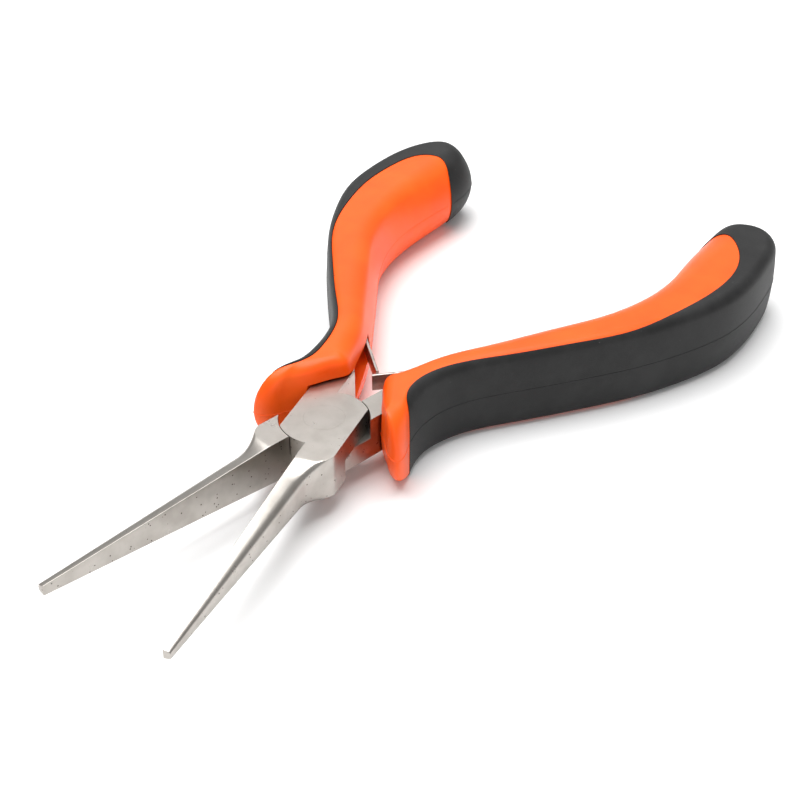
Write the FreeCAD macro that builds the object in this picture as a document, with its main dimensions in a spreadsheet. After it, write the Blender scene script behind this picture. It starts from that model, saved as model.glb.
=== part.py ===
"""Mini long-nose pliers with two-shot grips and a pair of opening leaf springs.

Frame: the pivot axis is +Z, the jaws point along +Y, and z = 0 is the joint's underside.
Both levers are the same forging. Each is drawn once, closed, with the joint's middle plane at
z = 0, its jaw on the -X side and its handle on the +X side; the lower one is turned over about Y.
"""

import FreeCAD, Part
import math
import os

import Sketcher

V = FreeCAD.Vector

# Driving dimensions, in millimetres and degrees, with what each one is.
SIZES = {
    "rest_half_angle": (12.0, "each lever's turn from closed when the springs hold the pliers open"),
    "joint_half_width": (5.6, "pivot axis to the joint's straight side"),
    "joint_half_depth": (3.65, "half of the joint's thickness"),
    "boss_radius": (7.2, "round lap boss about the pivot"),
    "shoulder_gap": (0.15, "boss to the other lever's concave shoulder"),
    "lap_gap": (0.02, "between the two lap faces"),
    "face_gap": (0.04, "jaw face to the closing plane"),
    "jaw_length": (52.5, "pivot axis to the jaw's tip"),
    "jaw_root_end": (9.0, "where the straight-sided jaw root ends"),
    "jaw_bury": (0.2, "how far the jaw starts inside its root"),
    "jaw_neck_at": (15.6, "where the neck has narrowed"),
    "jaw_neck_width": (3.15, "jaw width at the neck"),
    "jaw_neck_depth": (6.7, "jaw depth at the neck"),
    "jaw_tip_width": (1.35, "jaw width at the tip"),
    "jaw_tip_depth": (1.75, "jaw depth at the tip"),
    "rivet_radius": (2.5, "rivet shank"),
    "rivet_head_radius": (3.3, "countersunk rivet head"),
    "rivet_head_depth": (0.9, "depth of the countersink"),
    "rivet_play": (0.02, "radial running clearance of the rivet in the upper lever"),
    "shank_inset": (0.85, "closing plane to the shank's inner side"),
    "shank_length": (14.2, "pivot axis to the end of the full-depth shank"),
    "tang_root_inset": (2.5, "closing plane to the tang's inner side at its root"),
    "tang_root_bury": (1.0, "how far the tang starts inside the shank"),
    "tang_half_depth": (2.6, "half of the tang's thickness"),
    "handle_length": (98.0, "pivot axis to the grip's end, closed"),
    "handle_sweep": (27.3, "closing plane to the grip's widest point, closed"),
    "grip_half_depth": (7.4, "half of the grip's thickness"),
    "grip_edge_radius": (1.6, "rounding of the grip's long edges"),
    "outer_draft": (0.6, "lean of the grip's outer side from its middle to its edge"),
    "cover_key_depth": (1.2, "how far the soft cover's tongue runs under the core's edge"),
    "cover_key_half_height": (4.4, "half height of that tongue"),
    "mouth_play": (0.35, "gap between the shank and the collar's lip"),
    "mouth_depth": (13.6, "pivot axis to the bottom of that gap"),
    "blade_height": (3.0, "leaf spring height"),
    "blade_thickness": (0.45, "leaf spring thickness"),
    "blade_length": (14.4, "leaf spring, pin to tip"),
    "blade_level": (1.8, "middle of the springs above the joint's middle plane"),
    "blade_angle": (126.5, "leaf spring's direction from +X, lever closed, spring relaxed"),
    "pin_radius": (0.6, "spring pin"),
    "pin_hold": (2.0, "how far the spring pin runs into the core beyond each edge of the spring"),
    "pin_play": (0.04, "radial running clearance of the spring's eye on its pin"),
    "eye_wall": (0.45, "wall of the spring's rolled eye"),
    "slot_play": (0.3, "room about a spring in its grip"),
    "blade_swing": (13.5, "how far a spring turns in its grip from relaxed to closed"),
    "blade_back_swing": (10.0, "how far it turns the other way"),
}

# Grip outline at stations down the handle: distance as a share of handle_length, then the inner
# and outer sides at mid depth as shares of handle_sweep, the inner side's lean in millimetres,
# and where the soft cover starts as a share of the way from the inner to the outer side.
STATIONS = [
    (0.148, 0.016, 0.338, 1.4, 0.70),
    (0.225, 0.058, 0.337, 1.7, 0.82),
    (0.316, 0.157, 0.478, 2.2, 0.84),
    (0.429, 0.300, 0.678, 2.3, 0.87),
    (0.531, 0.425, 0.838, 2.4, 0.87),
    (0.633, 0.478, 0.945, 2.5, 0.78),
    (0.725, 0.434, 0.992, 3.2, 0.74),
    (0.816, 0.338, 0.955, 4.0, 0.72),
    (0.898, 0.274, 0.870, 4.0, 0.50),
]
# The outline's bowed front, which is the collar's mouth and its flared tip, and its rounded end:
# shares (across, down) at mid depth, the lean (across, down) in millimetres at the flat sides,
# and how much of the long edges' rounding each point takes.
FRONT = [
    (0.022, 0.122, 1.5, 0.6, 0.8),
    (0.095, 0.100, 0.7, 1.0, 0.6),
    (0.205, 0.064, -0.3, 2.8, 0.6),
    (0.330, 0.033, -1.7, 4.4, 0.5),
    (0.432, 0.012, -2.8, 6.1, 0.2),
    (0.482, 0.013, -3.0, 6.8, 0.2),
    (0.472, 0.040, -2.8, 5.9, 0.3),
    (0.424, 0.080, -1.8, 3.9, 0.7),
]
END = [
    (0.735, 0.972, -0.9, -1.0, 1.0),
    (0.520, 1.000, 0.6, -1.9, 1.0),
    (0.325, 0.966, 2.8, -1.9, 1.0),
]
# The cover's edge in front of the first station and behind the last, as shares (across, down).
COVER_FRONT = [(0.66, 0.060), (0.430, 0.074), (0.320, 0.090), (0.262, 0.113)]
COVER_END = [(0.440, 0.907), (0.341, 0.884), (0.264, 0.842), (0.147, 0.776)]

# Heights at which the outline is drawn below its rounded edges, as shares of the half depth,
# and the number of steps that round each edge.
CROWN_LEVELS = (0.0, 0.27, 0.53)
EDGE_STEPS = 3
# The tang's two sides across the grip, and the stations that it reaches.
TANG_SHARE = (0.50, 0.75)
TANG_STATIONS = STATIONS[1:6]
# The spring's pin, as shares of the handle's sweep and length.
PIN_PLACE = (0.216, 0.2776)
# The notch starts this share of the spring's length in front of the pin, and reaches this share
# of the joint's half width past the closing plane.
NOTCH_START = 0.38
NOTCH_REACH = 0.6
# A zero written as an expression.
ZERO = "0"


def make_sheet(doc):
    """Put the driving dimensions in a spreadsheet, one alias each."""
    sheet = doc.addObject("Spreadsheet::Sheet", "sizes")
    for row, (alias, (value, meaning)) in enumerate(SIZES.items(), start=1):
        sheet.set(f"A{row}", alias)
        sheet.set(f"B{row}", str(value))
        sheet.set(f"C{row}", meaning)
        sheet.setAlias(f"B{row}", alias)
    doc.recompute()
    return sheet


def base_plane(body, role):
    """The body's own origin plane of that role."""
    return next(f for f in body.Origin.OriginFeatures if f.Role == role)


def new_body(doc, label):
    body = doc.addObject("PartDesign::Body", label)
    body.Label = label
    return body


def new_sketch(body, name, role="XY_Plane", offset=None):
    """An empty sketch on one of the body's origin planes, raised by the expression offset."""
    sketch = body.newObject("Sketcher::SketchObject", name)
    sketch.AttachmentSupport = [(base_plane(body, role), "")]
    sketch.MapMode = "FlatFace"
    if offset:
        sketch.setExpression("AttachmentOffset.Base.z", offset)
    return sketch


def value_of(doc, expression):
    """The number that an expression on the sheet comes to."""
    probe = doc.getObject("probe") or doc.addObject("App::FeaturePython", "probe")
    if "number" not in probe.PropertiesList:
        probe.addProperty("App::PropertyFloat", "number")
    probe.setExpression("number", expression)
    probe.recompute()
    return probe.number


def bind(sketch, constraint, expression):
    """Add one dimension to a sketch and tie it to an expression."""
    index = sketch.addConstraint(constraint)
    sketch.setExpression(f"Constraints[{index}]", expression)


def polygon(sketch, corners):
    """Closed polygon whose corners are pairs of expressions on the sheet."""
    doc = sketch.Document
    points = [V(value_of(doc, x), value_of(doc, y), 0) for x, y in corners]
    count = len(points)
    lines = [Part.LineSegment(points[i], points[(i + 1) % count]) for i in range(count)]
    sketch.addGeometry(lines, False)
    for i in range(count):
        sketch.addConstraint(Sketcher.Constraint("Coincident", i, 2, (i + 1) % count, 1))
    for i, (x, y) in enumerate(corners):
        bind(sketch, Sketcher.Constraint("DistanceX", -1, 1, i, 1, points[i].x), x)
        bind(sketch, Sketcher.Constraint("DistanceY", -1, 1, i, 1, points[i].y), y)


def circle(sketch, radius):
    """Circle of a bound radius on the sketch's origin."""
    size = value_of(sketch.Document, radius)
    index = sketch.addGeometry(Part.Circle(V(0, 0, 0), V(0, 0, 1), size), False)
    sketch.addConstraint(Sketcher.Constraint("Coincident", index, 3, -1, 1))
    bind(sketch, Sketcher.Constraint("Radius", index, size), radius)


def pad(body, sketch, length, both_ways=False):
    """Raise a sketch by a bound length, from its plane or evenly to both sides of it."""
    feature = body.newObject("PartDesign::Pad", sketch.Name + "_pad")
    feature.Profile = sketch
    feature.SideType = "Symmetric" if both_ways else "One side"
    feature.setExpression("Length", length)
    body.Document.recompute()
    return feature


def pocket(body, sketch, length, upward=False):
    """Sink a sketch by a bound length below its plane, or above it."""
    feature = body.newObject("PartDesign::Pocket", sketch.Name + "_pocket")
    feature.Profile = sketch
    feature.Reversed = upward
    feature.setExpression("Length", length)
    body.Document.recompute()
    return feature


def lap_half(body):
    """Half-depth round boss with two straight sides, which rides in the other lever."""
    sketch = new_sketch(body, "lap", offset="sizes.lap_gap / 2")
    circle(sketch, "sizes.boss_radius")
    pad(body, sketch, "sizes.joint_half_depth - sizes.lap_gap / 2")
    for side, name in ((1, "flat_right"), (-1, "flat_left")):
        trim = new_sketch(body, name)
        near = f"{side} * sizes.joint_half_width"
        far = f"{side} * sizes.boss_radius * 1.5"
        reach = "sizes.boss_radius * 1.2"
        polygon(trim, [(near, f"-{reach}"), (far, f"-{reach}"), (far, reach), (near, reach)])
        pocket(body, trim, "sizes.joint_half_depth * 2", upward=True)


def root_and_shank(body):
    """Full-depth jaw root and shank, relieved below for the other lever's boss."""
    full = "sizes.joint_half_depth * 2"
    root = new_sketch(body, "jaw_root")
    polygon(root, [
        ("-sizes.joint_half_width", ZERO),
        ("-sizes.face_gap", ZERO),
        ("-sizes.face_gap", "sizes.jaw_root_end"),
        ("-sizes.joint_half_width", "sizes.jaw_root_end"),
    ])
    pad(body, root, full, both_ways=True)
    shank = new_sketch(body, "shank")
    polygon(shank, [
        ("sizes.shank_inset", ZERO),
        ("sizes.shank_inset", "-sizes.shank_length"),
        ("sizes.joint_half_width", "-sizes.shank_length"),
        ("sizes.joint_half_width", ZERO),
    ])
    pad(body, shank, full, both_ways=True)
    recess = new_sketch(body, "shoulder", offset="sizes.lap_gap / 2")
    circle(recess, "sizes.boss_radius + sizes.shoulder_gap")
    pocket(body, recess, full)


def station_point(station, share):
    """Expressions for a point at a station, a share of the way across the grip."""
    down, inner, outer = station[:3]
    across = inner + share * (outer - inner)
    return f"sizes.handle_sweep * {across:.4f}", f"-sizes.handle_length * {down}"


def tang(body):
    """Thin tongue that carries the grip, drawn from the grip's own stations."""
    inner_side = [station_point(s, TANG_SHARE[0]) for s in TANG_STATIONS]
    outer_side = [station_point(s, TANG_SHARE[1]) for s in TANG_STATIONS]
    root = "sizes.tang_root_bury - sizes.shank_length"
    sketch = new_sketch(body, "tang")
    polygon(sketch, [
        ("sizes.joint_half_width", root),
        ("sizes.tang_root_inset", root),
        *inner_side,
        *reversed(outer_side),
    ])
    pad(body, sketch, "sizes.tang_half_depth * 2", both_ways=True)


def jaw_section(body, name, width, depth, along):
    """Flat-faced section with a sloping top and a narrower back, square to the jaw."""
    sketch = new_sketch(body, name, role="XZ_Plane", offset=f"-({along})")
    polygon(sketch, [
        ("-sizes.face_gap", f"-{depth} / 2"),
        ("-sizes.face_gap", f"{depth} / 2"),
        (f"-{width} * 0.5", f"{depth} * 0.46"),
        (f"-{width} * 0.9", f"{depth} * 0.34"),
        (f"-{width}", f"{depth} * 0.18"),
        (f"-{width}", f"-{depth} * 0.18"),
        (f"-{width} * 0.9", f"-{depth} * 0.34"),
        (f"-{width} * 0.5", f"-{depth} * 0.46"),
    ])
    return sketch


def jaw_loft(body, name, first, last):
    """Straight-lined run of jaw between two sections."""
    loft = body.newObject("PartDesign::AdditiveLoft", name)
    loft.Profile = first
    loft.Sections = [last]
    loft.Ruled = True
    body.Document.recompute()


def jaw(body):
    """The long jaw: a quick neck behind the joint, then an even taper to a blunt tip."""
    start = jaw_section(
        body, "jaw_start", "sizes.joint_half_width", "(sizes.joint_half_depth * 2)",
        "sizes.jaw_root_end - sizes.jaw_bury",
    )
    neck = jaw_section(body, "jaw_neck", "sizes.jaw_neck_width", "sizes.jaw_neck_depth", "sizes.jaw_neck_at")
    jaw_loft(body, "neck_run", start, neck)
    taper = jaw_section(
        body, "jaw_taper", "sizes.jaw_neck_width", "sizes.jaw_neck_depth", "sizes.jaw_neck_at"
    )
    tip = jaw_section(body, "jaw_tip", "sizes.jaw_tip_width", "sizes.jaw_tip_depth", "sizes.jaw_length")
    jaw_loft(body, "taper_run", taper, tip)


def rivet_bore(body, play):
    """Countersunk rivet hole through the lap half, with radial room to turn."""
    sketch = new_sketch(body, "rivet_bore", role="XZ_Plane")
    shank = f"sizes.rivet_radius + {play}"
    head = f"sizes.rivet_head_radius + {play}"
    polygon(sketch, [
        (ZERO, "-sizes.joint_half_depth"),
        (shank, "-sizes.joint_half_depth"),
        (shank, "sizes.joint_half_depth - sizes.rivet_head_depth"),
        (head, "sizes.joint_half_depth"),
        (head, "sizes.joint_half_depth + 1"),
        (ZERO, "sizes.joint_half_depth + 1"),
    ])
    groove = body.newObject("PartDesign::Groove", "rivet_bore_cut")
    groove.Profile = sketch
    groove.ReferenceAxis = (sketch, ["V_Axis"])
    groove.Angle = 360
    body.Document.recompute()


def make_lever(doc, label, rivet_play):
    """One forged lever: lap half, jaw, shank and tang in one piece."""
    body = new_body(doc, label)
    lap_half(body)
    root_and_shank(body)
    tang(body)
    jaw(body)
    rivet_bore(body, rivet_play)
    return body


def make_rivet(doc):
    """Rivet ground flush with both faces, turned about the pivot axis."""
    body = new_body(doc, "pivot_rivet")
    sketch = new_sketch(body, "rivet_profile", role="XZ_Plane")
    neck = "(sizes.joint_half_depth - sizes.rivet_head_depth)"
    polygon(sketch, [
        (ZERO, "-sizes.joint_half_depth"),
        ("sizes.rivet_head_radius", "-sizes.joint_half_depth"),
        ("sizes.rivet_radius", f"-{neck}"),
        ("sizes.rivet_radius", neck),
        ("sizes.rivet_head_radius", "sizes.joint_half_depth"),
        (ZERO, "sizes.joint_half_depth"),
    ])
    turned = body.newObject("PartDesign::Revolution", "rivet_turned")
    turned.Profile = sketch
    turned.ReferenceAxis = (sketch, ["V_Axis"])
    turned.Angle = 360
    doc.recompute()
    return body


def make_blade(doc, label):
    """Leaf spring: a straight blade on edge with a rolled eye, pin at the body's origin."""
    body = new_body(doc, label)
    eye = new_sketch(body, "eye")
    circle(eye, "sizes.pin_radius + sizes.pin_play + sizes.eye_wall")
    pad(body, eye, "sizes.blade_height", both_ways=True)
    strip = new_sketch(body, "strip")
    side = "sizes.blade_thickness / 2"
    polygon(strip, [
        ("sizes.pin_radius", f"-{side}"),
        ("sizes.blade_length", f"-{side}"),
        ("sizes.blade_length", side),
        ("sizes.pin_radius", side),
    ])
    pad(body, strip, "sizes.blade_height", both_ways=True)
    bore = new_sketch(body, "bore", offset="-sizes.blade_height")
    circle(bore, "sizes.pin_radius + sizes.pin_play")
    pocket(body, bore, "sizes.blade_height * 2", upward=True)
    return body


def make_pin(doc, label):
    """Plain spring pin, held at both ends in the grip's core."""
    pin = doc.addObject("Part::Cylinder", label)
    pin.Label = label
    pin.setExpression("Radius", "sizes.pin_radius")
    pin.setExpression("Height", "sizes.blade_height + sizes.pin_hold * 2")
    doc.recompute()
    return pin


def spline_wire(points):
    """Open smooth curve through points."""
    curve = Part.BSplineCurve()
    curve.interpolate(Points=points)
    return Part.Wire([curve.toShape()])


def ring_wire(points, knots):
    """Closed smooth curve through points, with the same knots as its neighbours."""
    curve = Part.BSplineCurve()
    curve.interpolate(Points=points, PeriodicFlag=True, Parameters=knots)
    return Part.Wire([curve.toShape()])


def outline(s, level, inset):
    """Points of the grip's outline at a height, moved inwards by inset.

    Level is the height as a share of the grip's half depth.
    """
    across = s.handle_sweep
    down = s.handle_length
    lean = level**2
    outer = [(o * across - lean * s.outer_draft, -d * down, 1.0) for d, i, o, draft, edge in STATIONS]
    inner = [(i * across + lean * draft, -d * down, 1.0) for d, i, o, draft, edge in STATIONS]
    front = [(x * across + lean * lx, -y * down - lean * ly, share) for x, y, lx, ly, share in FRONT]
    end = [(x * across + lean * lx, -y * down - lean * ly, share) for x, y, lx, ly, share in END]
    ring = front + outer + end + inner[::-1]
    height = level * s.grip_half_depth
    points = []
    for before, (x, y, share), after in zip(ring[-1:] + ring[:-1], ring, ring[1:] + ring[:1]):
        along = V(after[0] - before[0], after[1] - before[1], 0).normalize()
        move = inset * share
        points.append(V(x + along.y * move, y - along.x * move, height))
    return points


def grip_block(s):
    """The whole grip's outer shape, crowned at mid depth, with rounded long edges."""
    radius = s.grip_edge_radius
    rise = [(level, 0.0) for level in CROWN_LEVELS]
    for step in range(EDGE_STEPS + 1):
        angle = math.pi / 2 * step / EDGE_STEPS
        height = s.grip_half_depth - radius * (1 - math.sin(angle))
        rise.append((height / s.grip_half_depth, radius * (1 - math.cos(angle))))
    levels = [(-level, inset) for level, inset in reversed(rise[1:])] + rise
    middle = outline(s, 0, 0)
    knots = [0.0]
    for here, after in zip(middle, middle[1:] + middle[:1]):
        knots.append(knots[-1] + here.distanceToPoint(after))
    wires = [ring_wire(outline(s, level, inset), knots) for level, inset in levels]
    return Part.makeLoft(wires, True, True)


def prism(points, low, high):
    """Straight-sided block over a flat polygon of points."""
    face = Part.Face(Part.makePolygon([V(p.x, p.y, low) for p in points + points[:1]]))
    return face.extrude(V(0, 0, high - low))


def mouth_cut(s):
    """Room about the shank where it enters the collar."""
    left = s.shank_inset - s.mouth_play
    width = s.joint_half_width + s.mouth_play - left
    half_high = s.joint_half_depth + s.mouth_play
    return Part.makeBox(width, s.mouth_depth, 2 * half_high, V(left, -s.mouth_depth, -half_high))


def notch_cut(s):
    """V-shaped opening in the inner wall, from the mouth to where the spring comes out."""
    pin_y = -PIN_PLACE[1] * s.handle_length
    front = -s.joint_half_width * 2
    back = pin_y + s.blade_length * NOTCH_START
    wide = s.joint_half_depth + s.shoulder_gap
    narrow = s.blade_height / 2
    left = -s.joint_half_width
    level = s.blade_level
    points = [
        V(left, front, -wide), V(left, front, wide),
        V(left, back, level + narrow), V(left, back, level - narrow),
    ]
    face = Part.Face(Part.makePolygon(points + points[:1]))
    return face.extrude(V(s.joint_half_width * (1 + NOTCH_REACH), 0, 0))


def spring_room(s):
    """The slot that the spring and its eye swing in."""
    eye = s.pin_radius + s.pin_play + s.eye_wall + s.slot_play
    half_high = s.blade_height / 2 + s.slot_play
    half_thick = s.blade_thickness / 2 + s.slot_play
    pin = pin_place(s)
    reach = s.blade_length
    fan = [pin]
    for angle, side in ((s.blade_angle - s.blade_swing, -1), (s.blade_angle + s.blade_back_swing, 1)):
        a = math.radians(angle)
        along = V(math.cos(a), math.sin(a), 0)
        across = V(-along.y, along.x, 0) * (side * half_thick)
        pair = [pin + across, pin + along * reach + across]
        fan += pair if side < 0 else pair[::-1]
    low = s.blade_level - half_high
    room = prism(fan, low, low + 2 * half_high)
    return room.fuse(Part.makeCylinder(eye, 2 * half_high, V(pin.x, pin.y, low)))


def pin_place(s):
    return V(PIN_PLACE[0] * s.handle_sweep, -PIN_PLACE[1] * s.handle_length, 0)


def cover_region(s, shift, half_height):
    """The space outside the cover's edge, moved inwards by shift and cut to a height."""
    across = s.handle_sweep
    down = s.handle_length
    edge = [V(x * across - shift, -y * down, 0) for x, y in COVER_FRONT]
    edge += [V((i + k * (o - i)) * across - shift, -d * down, 0) for d, i, o, lean, k in STATIONS]
    edge += [V(x * across - shift, -y * down, 0) for x, y in COVER_END]
    curve = spline_wire([V(p.x, p.y, -half_height) for p in edge])
    first, last = edge[0], edge[-1]
    far = across * 2
    corners = [
        V(last.x, last.y, -half_height), V(-across, last.y, -half_height),
        V(-across, -down * 1.2, -half_height),
        V(far, -down * 1.2, -half_height), V(far, first.y, -half_height),
        V(first.x, first.y, -half_height),
    ]
    face = Part.Face(Part.Wire(curve.Edges + Part.makePolygon(corners).Edges))
    return face.extrude(V(0, 0, 2 * half_height))


def add_shape(doc, label, shape):
    feature = doc.addObject("Part::Feature", label)
    feature.Label = label
    feature.Shape = shape
    return feature


def make_grip(doc, s, side, lever, over):
    """Hard core and soft cover of one grip, fitted round its lever, spring and pin."""
    level = over * s.blade_level
    block = grip_block(s).cut(mouth_cut(s))
    key = cover_region(s, s.cover_key_depth, s.cover_key_half_height)
    skin = cover_region(s, 0, s.grip_half_depth * 1.5)
    cover = block.common(skin.fuse(key)).cut(lever)
    room = spring_room(s)
    notch = notch_cut(s)
    pin_length = s.blade_height + 2 * s.pin_hold
    pin_foot = pin_place(s) + V(0, 0, s.blade_level - pin_length / 2)
    pin = Part.makeCylinder(s.pin_radius, pin_length, pin_foot)
    if over < 0:
        flip = V(0, 0, 1)
        room, notch, pin = [shape.mirror(V(0, 0, 0), flip) for shape in (room, notch, pin)]
    core = block.cut(skin.fuse(key)).cut(lever).cut(room).cut(notch).cut(pin)
    return (
        add_shape(doc, f"{side}_grip_core", core.removeSplitter()),
        add_shape(doc, f"{side}_grip_cover", cover.removeSplitter()),
    )


def lever_placement(s, over):
    """Where a closed, level lever goes: opened to rest, and turned over if it is the lower one."""
    opened = FreeCAD.Rotation(V(0, 0, 1), over * s.rest_half_angle)
    turned = FreeCAD.Rotation(V(0, 1, 0), 0 if over > 0 else 180)
    return FreeCAD.Placement(V(0, 0, s.joint_half_depth), opened.multiply(turned))


def make_half(doc, s, side, over, rivet_play):
    """One lever with its grip, spring and pin, placed at rest."""
    lever = make_lever(doc, f"{side}_lever", rivet_play)
    core, cover = make_grip(doc, s, side, lever.Shape.copy(), over)
    blade = make_blade(doc, f"{side}_leaf_spring")
    pin = make_pin(doc, f"{side}_spring_pin")
    place = lever_placement(s, over)
    at_pin = pin_place(s)
    level = over * s.blade_level
    turn = FreeCAD.Rotation(V(0, 0, 1), s.blade_angle)
    blade.Placement = place.multiply(FreeCAD.Placement(at_pin + V(0, 0, level), turn))
    low = level - s.blade_height / 2 - s.pin_hold
    pin.Placement = place.multiply(FreeCAD.Placement(at_pin + V(0, 0, low), FreeCAD.Rotation()))
    for piece in (lever, core, cover):
        piece.Placement = place
    return [lever, core, cover, blade, pin]


def check(doc, pieces):
    """Stop if any object failed, or any piece is empty or not a valid solid."""
    doc.recompute()
    failed = [o.Name for o in doc.Objects if {"Invalid", "Error"} & set(o.State)]
    if failed:
        raise RuntimeError(f"failed objects: {failed}")
    for piece in pieces:
        shape = piece.Shape
        if shape.isNull() or not shape.isValid() or not shape.Solids:
            raise RuntimeError(f"{piece.Label} is not a valid solid")
        print(piece.Label, len(shape.Solids), "solid", round(shape.Volume, 2), "mm3")


def main():
    doc = FreeCAD.newDocument("long_nose_pliers")
    s = make_sheet(doc)
    pieces = make_half(doc, s, "upper", 1, "sizes.rivet_play")
    pieces += make_half(doc, s, "lower", -1, ZERO)
    rivet = make_rivet(doc)
    rivet.Placement = FreeCAD.Placement(V(0, 0, s.joint_half_depth), FreeCAD.Rotation())
    pieces.append(rivet)
    check(doc, pieces)
    os.makedirs("parts", exist_ok=True)
    for piece in pieces:
        piece.Shape.exportStep(f"parts/{piece.Label}.step")


main()
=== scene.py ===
"""Visual model of small long-nose pliers with two-part grips and crossing leaf springs.

Each half of the tool is drawn in its own flat frame, closed and level: millimetres, the pivot at
the origin, the jaw along +Y on the -X side, the handle on the +X side and the joint's middle plane
at z = 0. A placement then opens it to rest, turns the lower half over and puts it in the frame.
"""

import logging
import math
from dataclasses import dataclass, field
from enum import Enum
from typing import Any, Iterable, Sequence

import bmesh
import bpy
import numpy as np
from mathutils import Matrix, Vector


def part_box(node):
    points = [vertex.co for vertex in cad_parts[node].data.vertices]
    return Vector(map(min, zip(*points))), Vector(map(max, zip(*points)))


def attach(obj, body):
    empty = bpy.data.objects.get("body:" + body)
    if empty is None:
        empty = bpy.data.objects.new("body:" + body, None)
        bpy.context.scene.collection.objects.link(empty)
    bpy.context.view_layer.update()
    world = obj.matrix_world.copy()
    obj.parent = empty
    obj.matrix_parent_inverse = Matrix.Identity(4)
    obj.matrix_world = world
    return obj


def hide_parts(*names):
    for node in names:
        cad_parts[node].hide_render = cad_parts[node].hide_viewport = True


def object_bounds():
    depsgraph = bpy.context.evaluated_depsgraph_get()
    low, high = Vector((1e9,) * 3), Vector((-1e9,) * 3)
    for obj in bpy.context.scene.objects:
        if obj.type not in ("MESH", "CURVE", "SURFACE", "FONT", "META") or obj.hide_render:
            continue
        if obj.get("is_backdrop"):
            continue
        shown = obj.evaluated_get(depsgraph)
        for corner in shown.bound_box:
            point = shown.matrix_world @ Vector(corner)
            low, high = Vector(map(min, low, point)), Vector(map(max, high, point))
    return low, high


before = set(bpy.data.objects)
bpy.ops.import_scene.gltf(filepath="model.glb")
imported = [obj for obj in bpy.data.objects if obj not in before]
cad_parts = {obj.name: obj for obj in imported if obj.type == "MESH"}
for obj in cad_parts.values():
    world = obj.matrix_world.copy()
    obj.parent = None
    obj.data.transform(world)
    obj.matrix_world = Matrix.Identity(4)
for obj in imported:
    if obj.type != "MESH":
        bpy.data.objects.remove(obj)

log = logging.getLogger("pliers")

MM = 0.001
SMOOTH_ANGLE = math.radians(32)

# the lower half's cover starts and ends a little further back than the upper one's
LOWER_COVER_FRONT = ((0.66, 0.060), (0.450, 0.080), (0.345, 0.093), (0.270, 0.118))
LOWER_COVER_END = ((0.440, 0.915), (0.350, 0.905), (0.264, 0.880), (0.147, 0.840))
# how far each spring strip reaches from its pin, in millimetres
UPPER_BLADE = 14.2
LOWER_BLADE = 16.4

Mesh = tuple[np.ndarray, list[tuple[int, ...]]]
Colour = tuple[float, float, float]


class Join(Enum):
    """How one solid is combined with another."""

    ADD = "UNION"
    CUT = "DIFFERENCE"
    KEEP = "INTERSECT"


class Profile(Enum):
    """The section that a sweep carries along its path."""

    STRIP = "strip"
    BEAD = "bead"


# ---------------------------------------------------------------- curves and solids


def spline(points: np.ndarray, knots: np.ndarray, at: np.ndarray, closed: bool) -> np.ndarray:
    """Evaluate the smooth cubic curve through points.

    Args:
        points: one row per point.
        knots: the parameter at each point, with one more for the way back if closed.
        at: the parameters to evaluate.
        closed: whether the curve returns to its first point.

    Returns:
        One row per parameter.
    """
    count = len(points)
    steps = np.diff(knots)
    system = np.zeros((count, count))
    right = np.zeros(points.shape)
    for i in range(count):
        if not closed and i in (0, count - 1):
            system[i, i] = 1.0
            continue
        before, after = steps[i - 1], steps[i]
        last, following = (i - 1) % count, (i + 1) % count
        system[i, last] += before
        system[i, i] += 2 * (before + after)
        system[i, following] += after
        ahead = (points[following] - points[i]) / after
        behind = (points[i] - points[last]) / before
        right[i] = 6 * (ahead - behind)
    bend = np.linalg.solve(system, right)
    span = np.clip(np.searchsorted(knots, at, side="right") - 1, 0, len(steps) - 1)
    following = (span + 1) % count
    h = steps[span][:, None]
    a = (knots[span + 1] - at)[:, None] / h
    b = 1 - a
    curve = a * points[span] + b * points[following]
    return curve + ((a**3 - a) * bend[span] + (b**3 - b) * bend[following]) * h**2 / 6


def chord_knots(points: np.ndarray, closed: bool) -> np.ndarray:
    """Distances along the straight lines between points, from 0."""
    loop = np.vstack([points, points[:1]]) if closed else points
    return np.concatenate([[0.0], np.cumsum(np.linalg.norm(np.diff(loop, axis=0), axis=1))])


def even_steps(knots: np.ndarray, step: float, least: int) -> np.ndarray:
    """Parameters about a step apart, with at least so many in each span and one on each knot.

    Args:
        knots: the parameters of the given points.
        step: the wanted distance.
        least: the fewest steps in a span.

    Returns:
        The parameters, without the last knot.
    """
    spans = []
    for low, high in zip(knots[:-1], knots[1:]):
        count = max(least, round((high - low) / step))
        spans.append(np.linspace(low, high, count, endpoint=False))
    return np.concatenate(spans)


def loft(rings: Sequence[np.ndarray]) -> Mesh:
    """Closed skin over rings of equal length, with a flat face at each end.

    Args:
        rings: one array of points per ring, in order.

    Returns:
        Points and faces.
    """
    size = len(rings[0])
    faces = []
    for level in range(len(rings) - 1):
        low, high = level * size, (level + 1) * size
        for i in range(size):
            j = (i + 1) % size
            faces.append((low + i, low + j, high + j, high + i))
    faces.append(tuple(range(size - 1, -1, -1)))
    top = (len(rings) - 1) * size
    faces.append(tuple(range(top, top + size)))
    return np.vstack(rings), faces


def slab(outline: np.ndarray, low: float, high: float) -> Mesh:
    """Straight-sided block over a flat outline."""
    rings = [np.column_stack([outline, np.full(len(outline), z)]) for z in (low, high)]
    return loft(rings)


def turned(profile: Sequence[tuple[float, float]], steps: int) -> Mesh:
    """Solid turned about Z from a profile of radius and height, closed at both ends.

    Args:
        profile: pairs of radius and height, upwards.
        steps: points round each circle.

    Returns:
        Points and faces.
    """
    angles = np.linspace(0, 2 * math.pi, steps, endpoint=False)
    rings = []
    for radius, height in profile:
        circle = (radius * np.cos(angles), radius * np.sin(angles), np.full(steps, height))
        rings.append(np.column_stack(circle))
    return loft(rings)


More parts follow.
